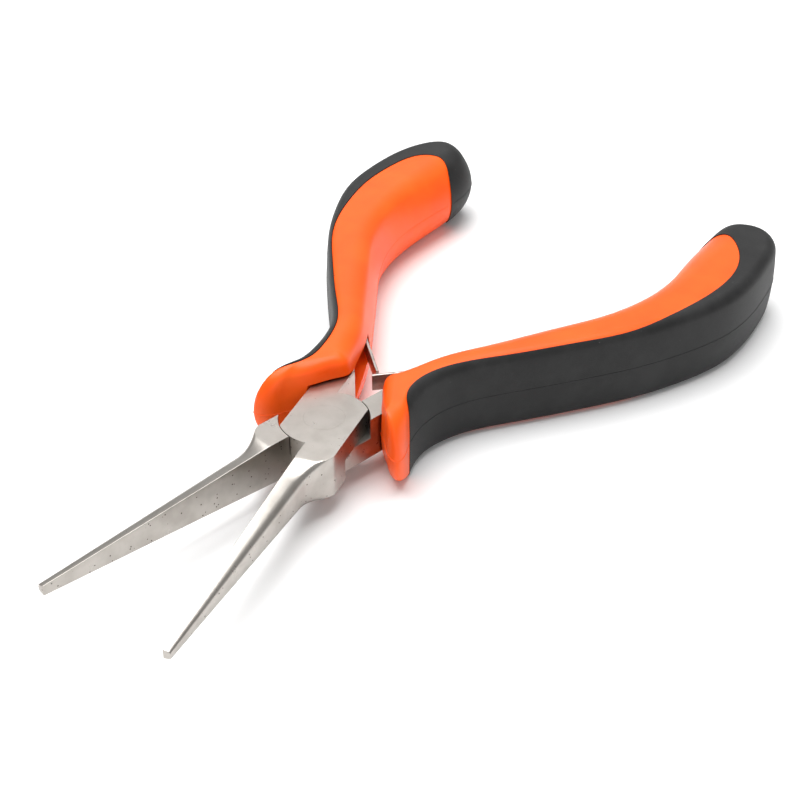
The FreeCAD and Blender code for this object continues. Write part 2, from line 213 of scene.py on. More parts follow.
def rounded(corners: Sequence[tuple[float, float, float]], steps: int) -> np.ndarray:
    """Polygon of (x, y, radius) corners, each softened by a short curve.

    Args:
        corners: the corners in order, with how far each is cut back.
        steps: points on each curve.

    Returns:
        One row (x, y) per point.
    """
    count = len(corners)
    places = np.array([c[:2] for c in corners])
    points = []
    for i, (x, y, radius) in enumerate(corners):
        here = places[i]
        ends = []
        for other in (places[i - 1], places[(i + 1) % count]):
            away = other - here
            length = np.linalg.norm(away)
            ends.append(here + away / length * min(radius, 0.48 * length))
        for t in np.linspace(0, 1, steps):
            points.append((1 - t) ** 2 * ends[0] + 2 * t * (1 - t) * here + t**2 * ends[1])
    return np.array(points)


def make_solid(name: str, mesh: Mesh) -> bpy.types.Object:
    """Object for a closed mesh, with its faces turned outwards.

    Args:
        name: the object's name.
        mesh: its points and faces.

    Returns:
        The object, in the scene.
    """
    points, faces = mesh
    data = bpy.data.meshes.new(name)
    data.from_pydata([tuple(p) for p in points], [], faces)
    work = bmesh.new()
    work.from_mesh(data)
    bmesh.ops.recalc_face_normals(work, faces=work.faces)
    work.to_mesh(data)
    work.free()
    piece = bpy.data.objects.new(name, data)
    bpy.context.scene.collection.objects.link(piece)
    return piece


def settle(piece: bpy.types.Object) -> None:
    """Turn a piece and its modifiers into a plain mesh.

    Args:
        piece: the object, which keeps its name.
    """
    graph = bpy.context.evaluated_depsgraph_get()
    made = bpy.data.meshes.new_from_object(piece.evaluated_get(graph))
    old = piece.data
    piece.modifiers.clear()
    piece.data = made
    bpy.data.meshes.remove(old)


def combine(piece: bpy.types.Object, tool: bpy.types.Object, how: Join) -> None:
    """Combine a solid with a tool, which is used up.

    Args:
        piece: the solid that stays.
        tool: the solid that is joined to it, cut from it or kept from it.
        how: which of these.
    """
    change = piece.modifiers.new("combine", "BOOLEAN")
    change.operation = how.value
    change.solver = "EXACT"
    change.object = tool
    settle(piece)
    spent = tool.data
    bpy.data.objects.remove(tool)
    bpy.data.meshes.remove(spent)


def put_in_frame(piece: bpy.types.Object, place: Matrix) -> None:
    """Move a millimetre mesh into the frame, in metres, and shade it smooth between its edges.

    Args:
        piece: the object.
        place: its half's placement.
    """
    work = bmesh.new()
    work.from_mesh(piece.data)
    bmesh.ops.remove_doubles(work, verts=work.verts, dist=1e-5)
    bmesh.ops.dissolve_degenerate(work, edges=work.edges, dist=1e-5)
    work.to_mesh(piece.data)
    work.free()
    piece.data.transform(place)
    piece.data.polygons.foreach_set("use_smooth", [True] * len(piece.data.polygons))
    piece.data.set_sharp_from_angle(angle=SMOOTH_ANGLE)
    piece.data.update()


# ---------------------------------------------------------------- sweeps by geometry nodes


@dataclass
class Sweep:
    """Node tree that carries a section along a path in the XY plane.

    Attributes:
        kind: the section's shape.
        finish: the material that the sweep sets.
    """

    kind: Profile
    finish: bpy.types.Material
    tree: bpy.types.NodeTree = field(init=False)

    def __post_init__(self) -> None:
        """Build the tree with a named input for each size."""
        tree = bpy.data.node_groups.new(f"sweep_{self.kind.value}", "GeometryNodeTree")
        self.tree = tree
        face = tree.interface
        face.new_socket("Path", in_out="INPUT", socket_type="NodeSocketGeometry")
        for name in ("Thickness", "Height"):
            face.new_socket(name, in_out="INPUT", socket_type="NodeSocketFloat")
        face.new_socket("Sweep", in_out="OUTPUT", socket_type="NodeSocketGeometry")
        start = tree.nodes.new("NodeGroupInput")
        end = tree.nodes.new("NodeGroupOutput")
        upright = tree.nodes.new("GeometryNodeSetCurveNormal")
        upright.mode = "Z_UP"
        section = self._section(start)
        skin = tree.nodes.new("GeometryNodeCurveToMesh")
        skin.inputs["Fill Caps"].default_value = True
        real = tree.nodes.new("GeometryNodeRealizeInstances")
        paint = tree.nodes.new("GeometryNodeSetMaterial")
        paint.inputs["Material"].default_value = self.finish
        links = tree.links
        links.new(start.outputs["Path"], upright.inputs["Curve"])
        links.new(upright.outputs["Curve"], skin.inputs["Curve"])
        links.new(section, skin.inputs["Profile Curve"])
        links.new(skin.outputs["Mesh"], real.inputs["Geometry"])
        links.new(real.outputs["Geometry"], paint.inputs["Geometry"])
        links.new(paint.outputs["Geometry"], end.inputs["Sweep"])

    def _section(self, start: bpy.types.Node) -> bpy.types.NodeSocket:
        """The section's curve, sized by the tree's inputs.

        Args:
            start: the tree's input node.

        Returns:
            The socket that gives the curve.
        """
        tree = self.tree
        if self.kind is Profile.STRIP:
            section = tree.nodes.new("GeometryNodeCurvePrimitiveQuadrilateral")
            tree.links.new(start.outputs["Thickness"], section.inputs["Width"])
            tree.links.new(start.outputs["Height"], section.inputs["Height"])
            round_off = tree.nodes.new("GeometryNodeFilletCurve")
            round_off.mode = "POLY"
            round_off.inputs["Count"].default_value = 2
            round_off.inputs["Radius"].default_value = 0.05
            tree.links.new(section.outputs["Curve"], round_off.inputs["Curve"])
            return round_off.outputs["Curve"]
        section = tree.nodes.new("GeometryNodeCurvePrimitiveCircle")
        section.inputs["Resolution"].default_value = 8
        tree.links.new(start.outputs["Thickness"], section.inputs["Radius"])
        return section.outputs["Curve"]

    def along(
        self, name: str, points: np.ndarray, thickness: float, height: float = 0.0
    ) -> bpy.types.Object:
        """Sweep the section along points.

        Args:
            name: the piece's name.
            points: the path, in millimetres, one row per point.
            thickness: the strip's thickness or the bead's radius.
            height: the strip's height.

        Returns:
            The piece, as a plain mesh in millimetres.
        """
        path = bpy.data.curves.new(name + "_path", "CURVE")
        path.dimensions = "3D"
        line = path.splines.new("POLY")
        line.points.add(len(points) - 1)
        for knot, place in zip(line.points, points):
            knot.co = (*place, 1.0)
        carrier = bpy.data.objects.new(name + "_path", path)
        bpy.context.scene.collection.objects.link(carrier)
        change = carrier.modifiers.new("sweep", "NODES")
        change.node_group = self.tree
        sizes = {"Thickness": thickness, "Height": height}
        for item in self.tree.interface.items_tree:
            if item.name in sizes and item.in_out == "INPUT":
                change[item.identifier] = sizes[item.name]
        graph = bpy.context.evaluated_depsgraph_get()
        mesh = bpy.data.meshes.new_from_object(carrier.evaluated_get(graph))
        bpy.data.objects.remove(carrier)
        bpy.data.curves.remove(path)
        piece = bpy.data.objects.new(name, mesh)
        bpy.context.scene.collection.objects.link(piece)
        return piece


# ---------------------------------------------------------------- finishes


class Value:
    """A number in a shader, which Python's operators work on."""

    def __init__(self, shade: "Shade", socket: bpy.types.NodeSocket) -> None:
        """Wrap a socket of that shader."""
        self.shade = shade
        self.socket = socket

    def _with(self, operation: str, first: Any, second: Any) -> "Value":
        """Add a Math node on two values."""
        node = self.shade.node("ShaderNodeMath", {"operation": operation}, {0: first, 1: second})
        return Value(self.shade, node.outputs[0])

    def __add__(self, other: Any) -> "Value":
        """Sum."""
        return self._with("ADD", self, other)

    __radd__ = __add__

    def __sub__(self, other: Any) -> "Value":
        """Difference."""
        return self._with("SUBTRACT", self, other)

    def __rsub__(self, other: Any) -> "Value":
        """Difference from a number."""
        return self._with("SUBTRACT", other, self)

    def __mul__(self, other: Any) -> "Value":
        """Product."""
        return self._with("MULTIPLY", self, other)

    __rmul__ = __mul__

    def above(self, low: float, high: float) -> "Value":
        """0 below low, 1 above high and a smooth step between.

        Args:
            low: where the step starts.
            high: where it ends.

        Returns:
            The stepped value.
        """
        settings = {"interpolation_type": "SMOOTHSTEP"}
        inputs = {"Value": self, "From Min": low, "From Max": high}
        node = self.shade.node("ShaderNodeMapRange", settings, inputs)
        return Value(self.shade, node.outputs["Result"])


class Shade:
    """One material under construction, with its Principled shader."""

    def __init__(self, name: str) -> None:
        """Start a material."""
        self.material = bpy.data.materials.new(name)
        self.material.use_nodes = True
        self.tree = self.material.node_tree
        self.surface = self.tree.nodes["Principled BSDF"]
        self.place = self.node("ShaderNodeTexCoord").outputs["Object"]

    def node(
        self, kind: str, settings: dict | None = None, inputs: dict | None = None
    ) -> bpy.types.Node:
        """Add a node.

        Args:
            kind: the node's type.
            settings: its properties, set before its sockets.
            inputs: values, sockets or Value objects by the socket's name or number.

        Returns:
            The node.
        """
        made = self.tree.nodes.new(kind)
        for name, value in (settings or {}).items():
            setattr(made, name, value)
        for name, value in (inputs or {}).items():
            self.feed(made.inputs[name], value)
        return made

    def feed(self, socket: bpy.types.NodeSocket, value: Any) -> None:
        """Link a value to a socket, or set it there."""
        if isinstance(value, Value):
            value = value.socket
        if isinstance(value, bpy.types.NodeSocket):
            self.tree.links.new(value, socket)
        else:
            socket.default_value = value

    def stretched(self, scale: Colour, turn: float = 0.0) -> bpy.types.NodeSocket:
        """Object coordinates scaled along each axis, turned about Z first."""
        inputs = {"Vector": self.place, "Scale": scale, "Rotation": (0.0, 0.0, turn)}
        return self.node("ShaderNodeMapping", {}, inputs).outputs["Vector"]

    def noise(self, scale: float, detail: float = 2.0, rough: float = 0.5, at: Any = None) -> Value:
        """Smooth noise from 0 to 1, with features 1 / scale metres apart."""
        inputs = {"Vector": at or self.place, "Scale": scale, "Detail": detail, "Roughness": rough}
        return Value(self, self.node("ShaderNodeTexNoise", {}, inputs).outputs["Fac"])

    def attribute(self, name: str) -> Value:
        """Value that the mesh carries under that name, or 0 where it carries none."""
        made = self.node("ShaderNodeAttribute", {"attribute_name": name})
        return Value(self, made.outputs["Fac"])

    def specks(self, scale: float, share: float, size: float) -> Value:
        """Mask of small round specks: 1 in a speck.

        Args:
            scale: cells per metre.
            share: the part of the cells that hold a speck.
            size: the speck's radius as a share of a cell.
        """
        cell = self.node("ShaderNodeTexVoronoi", {}, {"Vector": self.place, "Scale": scale})
        near = 1 - Value(self, cell.outputs["Distance"]).above(size * 0.5, size)
        pick = self.node("ShaderNodeSeparateColor", {}, {"Color": cell.outputs["Color"]}).outputs[0]
        chosen = Value(self, pick).above(1 - share, 1 - share + 0.01)
        return near * chosen

    def mix(self, factor: Any, first: Any, second: Any) -> bpy.types.NodeSocket:
        """Colour between first and second.

        Args:
            factor: 0 for the first, 1 for the second.
            first: a colour or a socket.
            second: a colour or a socket.

        Returns:
            The socket that gives the colour.
        """
        made = self.node("ShaderNodeMix", {"data_type": "RGBA"})
        self.feed(made.inputs[0], factor)
        for socket, value in ((made.inputs[6], first), (made.inputs[7], second)):
            self.feed(socket, (*value, 1.0) if isinstance(value, tuple) else value)
        return made.outputs[2]

    def bump(self, height: Value, depth: float, strength: float) -> bpy.types.NodeSocket:
        """Normal of a surface raised by height, at most depth metres."""
        inputs = {"Height": height, "Distance": depth, "Strength": strength}
        return self.node("ShaderNodeBump", {}, inputs).outputs["Normal"]

    def finish(self, **sockets: Any) -> bpy.types.Material:
        """Set the shader's sockets, with underscores for spaces, and return the material."""
        for name, value in sockets.items():
            self.feed(self.surface.inputs[name.replace("_", " ")], value)
        return self.material


@dataclass(frozen=True)
class PlatedSteel:
    """Satin nickel plate over a blasted forging, with small open pits."""

    name: str = "satin_nickel"
    bright: Colour = (0.46, 0.432, 0.400)
    dull: Colour = (0.385, 0.358, 0.328)
    pit: Colour = (0.06, 0.045, 0.035)
    roughness: float = 0.30
    pit_share: float = 0.30

    def make(self) -> bpy.types.Material:
        """Build the material."""
        shade = Shade(self.name)
        cloud = shade.noise(260, 3.0)
        grain = shade.noise(5200, 2.0)
        drag = shade.noise(1.0, 3.0, at=shade.stretched((900.0, 2600.0, 220.0)))
        upright = shade.attribute("upright").above(0.55, 0.95)
        pits = shade.specks(1500, self.pit_share, 0.24) * upright + shade.specks(650, 0.03, 0.14)
        plate = shade.mix(cloud.above(0.35, 0.7), self.bright, self.dull)
        colour = shade.mix(pits.above(0.2, 0.9), plate, self.pit)
        height = grain * 0.6 + drag * 0.8 - pits * 2.0
        rough = cloud * 0.10 + drag * 0.08 + pits * 0.4 + (self.roughness - 0.09)
        normal = shade.bump(height, 0.000012, 0.55)
        return shade.finish(Base_Color=colour, Metallic=1.0, Roughness=rough, Normal=normal)


@dataclass(frozen=True)
class SpringStrip:
    """Cold-rolled steel strip with fine lengthwise lines."""

    name: str = "rolled_strip"
    metal: Colour = (0.56, 0.53, 0.50)
    tint: Colour = (0.34, 0.29, 0.25)

    def make(self) -> bpy.types.Material:
        """Build the material."""
        shade = Shade(self.name)
        lines = shade.noise(1.0, 3.0, at=shade.stretched((300.0, 300.0, 6000.0)))
        stain = shade.noise(420, 4.0)
        colour = shade.mix(stain.above(0.45, 0.7), self.metal, self.tint)
        return shade.finish(
            Base_Color=colour, Metallic=1.0, Roughness=lines * 0.15 + stain * 0.1 + 0.2,
            Normal=shade.bump(lines, 0.00001, 0.4),
        )


@dataclass(frozen=True)
class MouldedShell:
    """Hard orange moulding with a fine spark-eroded grain and a few dark specks."""

    name: str = "orange_shell"
    body: Colour = (1.0, 0.092, 0.002)
    pale: Colour = (1.0, 0.118, 0.005)
    speck: Colour = (0.10, 0.02, 0.01)
    roughness: float = 0.36

    def make(self) -> bpy.types.Material:
        """Build the material."""
        shade = Shade(self.name)
        cloud = shade.noise(90, 3.0)
        grain = shade.noise(7000, 2.0)
        dirt = shade.specks(420, 0.012, 0.10)
        colour = shade.mix(cloud.above(0.3, 0.7), self.body, self.pale)
        colour = shade.mix(dirt, colour, self.speck)
        return shade.finish(
            Base_Color=colour, Roughness=cloud * 0.08 + grain * 0.06 + (self.roughness - 0.05),
            Normal=shade.bump(grain + cloud * 0.5, 0.000012, 0.45), Specular_IOR_Level=0.3,
        )


@dataclass(frozen=True)
class SoftCover:
    """Black soft-touch rubber with a fine matt grain and a little dust."""

    name: str = "black_cover"
    body: Colour = (0.0100, 0.0100, 0.0102)
    worn: Colour = (0.0190, 0.0190, 0.0192)
    dust: Colour = (0.20, 0.20, 0.20)
    roughness: float = 0.50

    def make(self) -> bpy.types.Material:
        """Build the material."""
        shade = Shade(self.name)
        cloud = shade.noise(140, 4.0, 0.6)
        grain = shade.noise(4200, 3.0, 0.6)
        dust = shade.specks(900, 0.07, 0.09) + shade.specks(380, 0.03, 0.05)
        colour = shade.mix(cloud.above(0.35, 0.75), self.body, self.worn)
        colour = shade.mix(dust * 0.45, colour, self.dust)
        return shade.finish(
            Base_Color=colour, Roughness=cloud * 0.10 + grain * 0.12 + (self.roughness - 0.08),
            Normal=shade.bump(grain, 0.00004, 0.7), Specular_IOR_Level=0.3,
        )


@dataclass(frozen=True)
class PaperFloor:
    """White sweep of paper under the tool."""

    name: str = "paper_floor"
    white: Colour = (0.90, 0.90, 0.90)

    def make(self) -> bpy.types.Material:
        """Build the material."""
        shade = Shade(self.name)
        fibre = shade.noise(900, 3.0)
        return shade.finish(Base_Color=(*self.white, 1.0), Roughness=fibre * 0.1 + 0.8)


@dataclass
class Finishes:
    """Every material of the tool, made once."""

    steel: bpy.types.Material = field(default_factory=lambda: PlatedSteel().make())
    strip: bpy.types.Material = field(default_factory=lambda: SpringStrip().make())
    shell: bpy.types.Material = field(default_factory=lambda: MouldedShell().make())
    cover: bpy.types.Material = field(default_factory=lambda: SoftCover().make())


# ---------------------------------------------------------------- the tool's halves


@dataclass(frozen=True)
class Half:
    """Which half of the tool a part belongs to, and where that half lies.

    Attributes:
        side: the first word of its names.
        over: 1 for the half whose lap is on top, -1 for the one that is turned over.
        rest_angle: its turn from closed at rest, in degrees.
    """

    side: str
    over: int
    rest_angle: float = 12.0

    @property
    def body(self) -> str:
        """The body that this half's rigid parts ride on."""
        return f"{self.side}_half"

    @property
    def place(self) -> Matrix:
        """Placement from the half's own flat frame, in millimetres, to the frame at rest."""
        low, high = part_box("pivot_rivet")
        lift = Matrix.Translation((0.0, 0.0, (low.z + high.z) / 2))
        opened = Matrix.Rotation(math.radians(self.over * self.rest_angle), 4, "Z")
        flipped = Matrix.Rotation(0.0 if self.over > 0 else math.pi, 4, "Y")
        return lift @ opened @ flipped @ Matrix.Scale(MM, 4)

    def ride(self, piece: bpy.types.Object, slot: str, body: str | None = None) -> None:
        """Put a piece on this half's body."""
        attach(piece, body or self.body)


@dataclass
class Lever:
    """Forged lever: lap, long jaw, shank and tang. Sizes in millimetres."""

    half: Half
    half_width: float = 5.6
    half_depth: float = 3.65
    boss: float = 7.2
    shoulder: float = 7.35
    lap: float = 0.01
    face: float = 0.04
    root_end: float = 8.8
    neck_end: float = 15.8
    jaw_end: float = 52.5
    neck_width: float = 3.15
    neck_half_depth: float = 3.35
    tip_width: float = 1.35
    tip_half_depth: float = 0.875
    edge: float = 0.14
    shank_inset: float = 0.85
    shank_end: float = 14.2
    rivet: float = 2.52
    rivet_head: float = 3.32
    rivet_head_depth: float = 0.9
    tang_half_depth: float = 2.6
    # the jaw's outer side: its lean, where its corners sit, how round they and the back are
    side_lean: float = 0.05
    corner_level: float = 0.78
    corner_rise: float = 0.42
    root_round: float = 0.30
    jaw_round: float = 0.42
    back_round: float = 1.2

    def jaw_ring(self, y: float) -> np.ndarray:
        """One section of the jaw, square to it: flat inside, sloped on top, rounded outside.

        Args:
            y: its distance from the pivot.

        Returns:
            One row (x, y, z) per point.
        """
        along = (y - self.neck_end) / (self.jaw_end - self.neck_end)
        width = self.neck_width + (self.tip_width - self.neck_width) * along
        depth = self.neck_half_depth + (self.tip_half_depth - self.neck_half_depth) * along
        t = min(max((y - self.root_end) / (self.neck_end - self.root_end), 0.0), 1.0)
        flare = (1 - t**1.5) ** 3
        start = self.neck_width + (self.tip_width - self.neck_width) * (
            (self.root_end - self.neck_end) / (self.jaw_end - self.neck_end)
        )
        width = self.half_width if y <= self.root_end else width + (self.half_width - start) * flare
        ease = (1 - t) ** 1.5
        back = width * (1 - self.side_lean * (1 - ease))
        fall = self.corner_level + self.corner_rise * ease
        soft = self.root_round + (self.jaw_round * width - self.root_round) * (1 - ease)
        ring = rounded(
            [
                (-self.face, depth, self.edge),
                (-back, depth * fall, soft),
                (-width, 0.0, self.back_round),
                (-back, -depth * fall, soft),
                (-self.face, -depth, self.edge),
            ],
            7,
        )
        z = np.clip(ring[:, 1], -self.half_depth, self.half_depth)
        return np.column_stack([ring[:, 0], np.full(len(ring), y), z])

    def jaw(self) -> bpy.types.Object:
        """The jaw and its root, with a softened blunt tip."""
        rows = np.concatenate([
            np.linspace(0.0, self.root_end, 6),
            np.linspace(self.root_end + 0.25, self.neck_end, 28),
            np.linspace(self.neck_end + 0.8, self.jaw_end - 0.3, 44),
        ])
        rings = [self.jaw_ring(y) for y in rows]
        for share, back in ((1.0, 0.18), (0.93, 0.05), (0.82, 0.0)):
            ring = self.jaw_ring(self.jaw_end - back)
            middle = ring.mean(axis=0)
            ring[:, 0] = middle[0] + (ring[:, 0] - middle[0]) * share
            ring[:, 2] = middle[2] + (ring[:, 2] - middle[2]) * share
            rings.append(ring)
        return make_solid("jaw", loft(rings))

    def lap_half(self) -> bpy.types.Object:
        """Half-depth round boss with two straight sides."""
        reach = math.acos(self.half_width / self.boss)
        front = np.linspace(reach, math.pi - reach, 49)
        angles = np.concatenate([front, front + math.pi])
        outline = np.column_stack([self.boss * np.cos(angles), self.boss * np.sin(angles)])
        outline[:, 0] = np.clip(outline[:, 0], -self.half_width, self.half_width)
        return make_solid("lap", slab(outline, self.lap, self.half_depth))

    def shank(self) -> bpy.types.Object:
        """Full-depth bar that runs into the grip."""
        corners = [
            (self.shank_inset, 0.0), (self.shank_inset, -self.shank_end),
            (self.half_width, -self.shank_end), (self.half_width, 0.0),
        ]
        return make_solid("shank", slab(np.array(corners), -self.half_depth, self.half_depth))

    def tang(self) -> bpy.types.Object:
        """Tongue inside the grip."""
        corners = np.array([
            (2.5, -12.0), (5.4, -22.0), (8.7, -31.0), (13.4, -42.0), (17.2, -52.0), (19.4, -62.0),
            (22.6, -62.0), (20.0, -52.0), (15.9, -42.0), (10.9, -31.0), (7.3, -22.0), (5.5, -12.0),
        ])
        return make_solid("tang", slab(corners, -self.tang_half_depth, self.tang_half_depth))

    def recess(self) -> bpy.types.Object:
        """Round room for the other lever's boss."""
        return make_solid("recess", turned([(self.shoulder, -9.0), (self.shoulder, self.lap)], 144))

    def bore(self) -> bpy.types.Object:
        """Countersunk rivet hole."""
        cone = self.half_depth - self.rivet_head_depth
        profile = [(self.rivet, -1.0), (self.rivet, cone), (self.rivet_head, self.half_depth)]
        profile.append((self.rivet_head, self.half_depth + 1.0))
        return make_solid("bore", turned(profile, 96))

    def build(self, finishes: Finishes) -> bpy.types.Object:
        """Make the whole lever and put it on its half.

        Args:
            finishes: the materials.

        Returns:
            The lever.
        """
        lever = self.lap_half()
        lever.name = f"{self.half.side}_lever_forging"
        jaw, shank = self.jaw(), self.shank()
        for part in (jaw, shank):
            combine(part, self.recess(), Join.CUT)
        for part in (jaw, shank, self.tang()):
            combine(lever, part, Join.ADD)
        combine(lever, self.bore(), Join.CUT)
        put_in_frame(lever, self.half.place)
        upright = lever.data.attributes.new("upright", "FLOAT", "FACE")
        upright.data.foreach_set("value", [1 - abs(face.normal.z) for face in lever.data.polygons])
        lever.data.materials.clear()
        lever.data.materials.append(finishes.steel)
        self.half.ride(lever, "forged_steel")
        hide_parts(f"{self.half.side}_lever")
        return lever


@dataclass
class Grip:
    """Two-part grip: an orange shell with a black soft cover round its outer side and end.

    The tables give the closed half's plan. Shares are of the handle's length, down from the pivot,
    and of its sweep, out from the closing plane.
    """

    half: Half
    length: float = 98.0
    sweep: float = 27.3
    half_depth: float = 7.4
    edge: float = 1.75
    outer_draft: float = 0.6
    seam: float = 0.05
    step: float = 0.65
    edge_steps: int = 8
    bead: float = 0.09
    bead_step: float = 0.35
    bead_depth: float = 1.25
    line_gap: float = 12.0
    wall_steps: int = 9
    flat_inset: float = 0.12
    # down, inner side, outer side, the inner side's lean, the cover's edge across the grip
    stations: tuple = (
        (0.148, 0.016, 0.320, 1.4, 0.73),
        (0.225, 0.058, 0.337, 1.7, 0.77),
        (0.316, 0.157, 0.478, 2.2, 0.84),
        (0.429, 0.300, 0.678, 2.3, 0.87),
        (0.531, 0.425, 0.838, 2.4, 0.87),
        (0.633, 0.478, 0.945, 2.5, 0.78),
        (0.725, 0.434, 0.992, 3.2, 0.74),
        (0.816, 0.338, 0.955, 4.0, 0.72),
        (0.898, 0.274, 0.870, 4.0, 0.50),
    )
    # across, down, lean across, lean down, share of the edge's rounding
    front: tuple = (
        (0.022, 0.122, 1.5, 0.6, 0.8),
        (0.095, 0.100, 0.7, 1.0, 0.6),
        (0.205, 0.064, -0.3, 2.8, 0.6),
        (0.330, 0.033, -1.7, 4.4, 0.5),
        (0.418, 0.014, -3.1, 5.6, 0.2),
        (0.494, 0.016, -4.3, 5.4, 0.2),
        (0.464, 0.038, -3.7, 4.5, 0.3),
        (0.386, 0.068, -2.1, 3.0, 0.5),
    )
    end: tuple = (
        (0.735, 0.972, -0.9, -1.0, 1.0),
        (0.520, 1.000, 0.6, -1.9, 1.0),
        (0.325, 0.966, 2.8, -1.9, 1.0),
    )
    cover_front: tuple = ((0.66, 0.040), (0.420, 0.050), (0.318, 0.074), (0.250, 0.109))
    cover_end: tuple = ((0.470, 0.893), (0.385, 0.868), (0.300, 0.834), (0.147, 0.772))
    inner_round: float = 1.35
    # how far this collar's nose is moved at mid-height
    nose_shift: tuple = (0.0, 0.0)
    # how much of that each row of front takes at mid-height, and low on the collar
    nose_share: tuple = (0.0, 0.0, 0.3, 0.8, 1.0, 0.9, 0.5, 0.3)
    nose_under: tuple = (0.0, 0.0, 0.1, 0.5, 0.62, 0.9, 0.75, 0.45)
    nose_fill: float = 0.0
    fill_share: tuple = (0.0, 0.0, 0.0, 0.0, 0.0, 0.0, 0.55, 1.15)
    end_lean: float = 1.0
    proud: float = 0.13
    mouth: tuple = (0.5, 5.95, 13.6, 4.0)
    pin: tuple = (0.216, 0.2776)
    blade_level: float = 1.8
    blade_half_height: float = 1.5
    # the notch: its front's place and half height, its two sides, its back before the pin
    notch_front: tuple = (-10.0, 3.8)
    notch_sides: tuple = (-5.6, 3.36)
    notch_back: float = 5.5
    # the spring's slot: its two angles in degrees, its reach, its room beside and above the blade
    swing: tuple = (113.0, 136.5)
    slot_reach: float = 14.4
    slot_side: float = 0.6
    slot_room: float = 0.3
    slot_back: float = 0.9

    def outline(self, level: float, inset: float) -> np.ndarray:
        """Points of the plan at a height, moved inwards by inset.

        Args:
            level: the height as a share of the half depth, either way.
            inset: the distance moved inwards, in millimetres.

        Returns:
            One row (x, y, z) per point.
        """
        lean = level**2
        crown = 1 - math.sqrt(1 - lean)
        ring = []
        rows = zip(self.front, self.nose_share, self.nose_under, self.fill_share)
        for (x, y, lx, ly, k), share, under, fill in rows:
            above = level * self.half.over > 0
            share = share * (1 - 2 * crown) if above else share * (1 - crown) + under * crown
            shift, back = share * self.nose_shift[0], share * self.nose_shift[1]
            across = x * self.sweep + crown * lx + shift + fill * self.nose_fill
            ring.append((across, back - y * self.length - crown * ly, k))
        for d, _, o, _, _ in self.stations:
            ring.append((o * self.sweep - lean * self.outer_draft, -d * self.length, 1.0))
        for x, y, lx, ly, k in self.end:
            tilt = lean * self.end_lean
            ring.append((x * self.sweep + tilt * lx, -y * self.length - tilt * ly, k))
        for d, i, _, draft, _ in reversed(self.stations):
            ring.append((i * self.sweep + lean * draft, -d * self.length, self.inner_round))
        ring = np.array(ring)
        along = np.roll(ring, -1, axis=0)[:, :2] - np.roll(ring, 1, axis=0)[:, :2]
        along /= np.linalg.norm(along, axis=1)[:, None]
        inward = np.column_stack([along[:, 1], -along[:, 0]]) * (ring[:, 2] * inset)[:, None]
        return np.column_stack([ring[:, :2] + inward, np.full(len(ring), level * self.half_depth)])

    def rise(self) -> list[tuple[float, float]]:
        """Heights and insets from the middle to the flat side."""
        wall = 1 - self.edge / self.half_depth
        levels = [(wall * t, 0.0) for t in np.linspace(0, 1, self.wall_steps)]
        for angle in np.linspace(0, math.pi / 2, self.edge_steps + 1)[1:]:
            height = 1 - self.edge * (1 - math.sin(angle)) / self.half_depth
            levels.append((height, self.edge * (1 - math.cos(angle))))
        return levels + [(1.0, self.edge + self.flat_inset)]

    def block(self, name: str, sunk: float) -> bpy.types.Object:
        """The whole grip's outer shape, with its skin sunk by a distance.

        Args:
            name: the solid's name.
            sunk: the distance, in millimetres.

        Returns:
            The solid, in the half's own frame.
        """
        middle = self.outline(0.0, 0.0)
        knots = chord_knots(middle, True)
        at = even_steps(knots, self.step, 8)
        rise = self.rise()
        levels = [(-height, inset) for height, inset in reversed(rise[1:])] + rise
        skin = self.bead + sunk
        rings = [
            spline(self.outline(height, inset + skin), knots, at, True) for height, inset in levels
        ]
        for ring in rings:
            ring[:, 2] *= 1 - sunk / self.half_depth
        return make_solid(name, loft(rings))

    def cover_line(self, shift: float) -> np.ndarray:
        """The cover's edge in plan, moved inwards by shift.

        Args:
            shift: the distance, in millimetres.

        Returns:
            One row (x, y) per point, from the front to the end.
        """
        edge = list(self.cover_front)
        edge += [(i + k * (o - i), d) for d, i, o, _, k in self.stations]
        edge += self.cover_end
        points = np.array(edge) * (self.sweep, -self.length) - (shift, 0.0)
        knots = chord_knots(points, False)
        return spline(points, knots, np.append(even_steps(knots, self.step, 6), knots[-1]), False)

    def cover_side(self, shift: float) -> np.ndarray:
        """Polygon round everything on the cover's side of its edge, in plan.

        Args:
            shift: how far the edge is moved inwards, in millimetres.

        Returns:
            One row (x, y) per corner.
        """
        line = self.cover_line(shift)
        low, far = -1.2 * self.length, 2 * self.sweep
        corners = [(-self.sweep, line[-1][1]), (-self.sweep, low), (far, low), (far, line[0][1])]
        return np.vstack([line, corners])

    def outside(self, shift: float) -> bpy.types.Object:
        """Block that covers everything on the cover's side of its edge."""
        deep = 1.5 * self.half_depth
        return make_solid("outside", slab(self.cover_side(shift), -deep, deep))

    def is_covered(self, points: np.ndarray) -> np.ndarray:
        """Whether each point lies on the cover's side of its edge.

        Args:
            points: one row (x, y, z) per point.

        Returns:
            True or False for each point.
        """
        x1, y1 = self.cover_side(0.0).T
        x2, y2 = np.roll(x1, -1), np.roll(y1, -1)
        x, y = points[:, :1], points[:, 1:2]
        crossed = (y1 > y) != (y2 > y)
        rise = np.where(y2 == y1, 1.0, y2 - y1)
        beyond = x < (x2 - x1) * (y - y1) / rise + x1
        return np.sum(crossed & beyond, axis=1) % 2 == 1

    def pin_place(self) -> np.ndarray:
        """The spring pin in plan."""
        return np.array([self.pin[0] * self.sweep, -self.pin[1] * self.length])

    def mouth_room(self) -> bpy.types.Object:
        """Pocket round the shank."""
        left, right, deep, high = self.mouth
        corners = [(left, 0.0), (left, -deep), (right, -deep), (right, 0.0)]
        return make_solid("mouth", slab(np.array(corners), -high, high))

